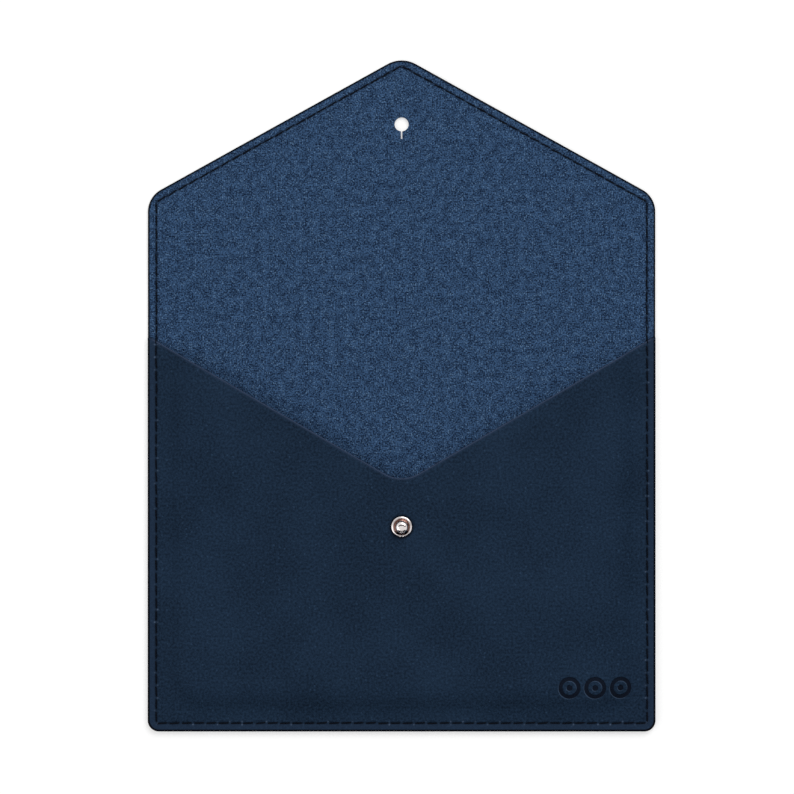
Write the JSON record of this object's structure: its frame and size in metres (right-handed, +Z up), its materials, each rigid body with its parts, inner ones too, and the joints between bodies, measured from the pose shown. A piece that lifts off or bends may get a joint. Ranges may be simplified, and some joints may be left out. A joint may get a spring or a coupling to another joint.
{
  "type": "score card holder",
  "caption": "Flat envelope holder for folded game score cards, with a V-mouthed front pocket and a pointed flap that folds over and hooks on a ball stud.",
  "frame": {"origin": "on the table, under the middle of the opened holder's outline", "axes": "+X across the holder, +Y from the pocket's closed end to the flap's point, +Z up out of the pocket's front"},
  "size_m": [0.2084, 0.2756, 0.0149],
  "materials": {
    "leatherette": "matt navy leatherette with a fine grain and darker cut edges",
    "lining": "brushed blue microfibre, mottled like denim",
    "thread": "dark navy twisted polyester thread",
    "polished_metal": "polished nickel plate"
  },
  "bodies": {
    "pocket": {"back_cover": "leatherette", "back_lining": "lining", "front_cover": "leatherette", "front_lining": "lining", "pocket_needle_thread": "thread", "pocket_bobbin_thread": "thread", "stud_knob": "polished_metal", "stud_screw": "polished_metal"},
    "fold_band": {"fold_cover": "leatherette", "fold_lining": "lining", "fold_needle_thread": "thread", "fold_bobbin_thread": "thread"},
    "flap": {"flap_cover": "leatherette", "flap_lining": "lining", "flap_needle_thread": "thread", "flap_bobbin_thread": "thread"}
  },
  "joints": [
    {"name": "fold_crease", "type": "hinge", "parent": "pocket", "child": "fold_band", "pos_m": [0, 0.02536, 0.0014], "axis": [1, 0, 0], "range_deg": [0, 90]},
    {"name": "flap_crease", "type": "hinge", "parent": "fold_band", "child": "flap", "pos_m": [0, 0.03266, 0.0014], "axis": [1, 0, 0], "range_deg": [0, 90]}
  ],
  "couplings": [
    {"joint": "fold_crease", "follows": "flap_crease", "ratio": 1}
  ]
}
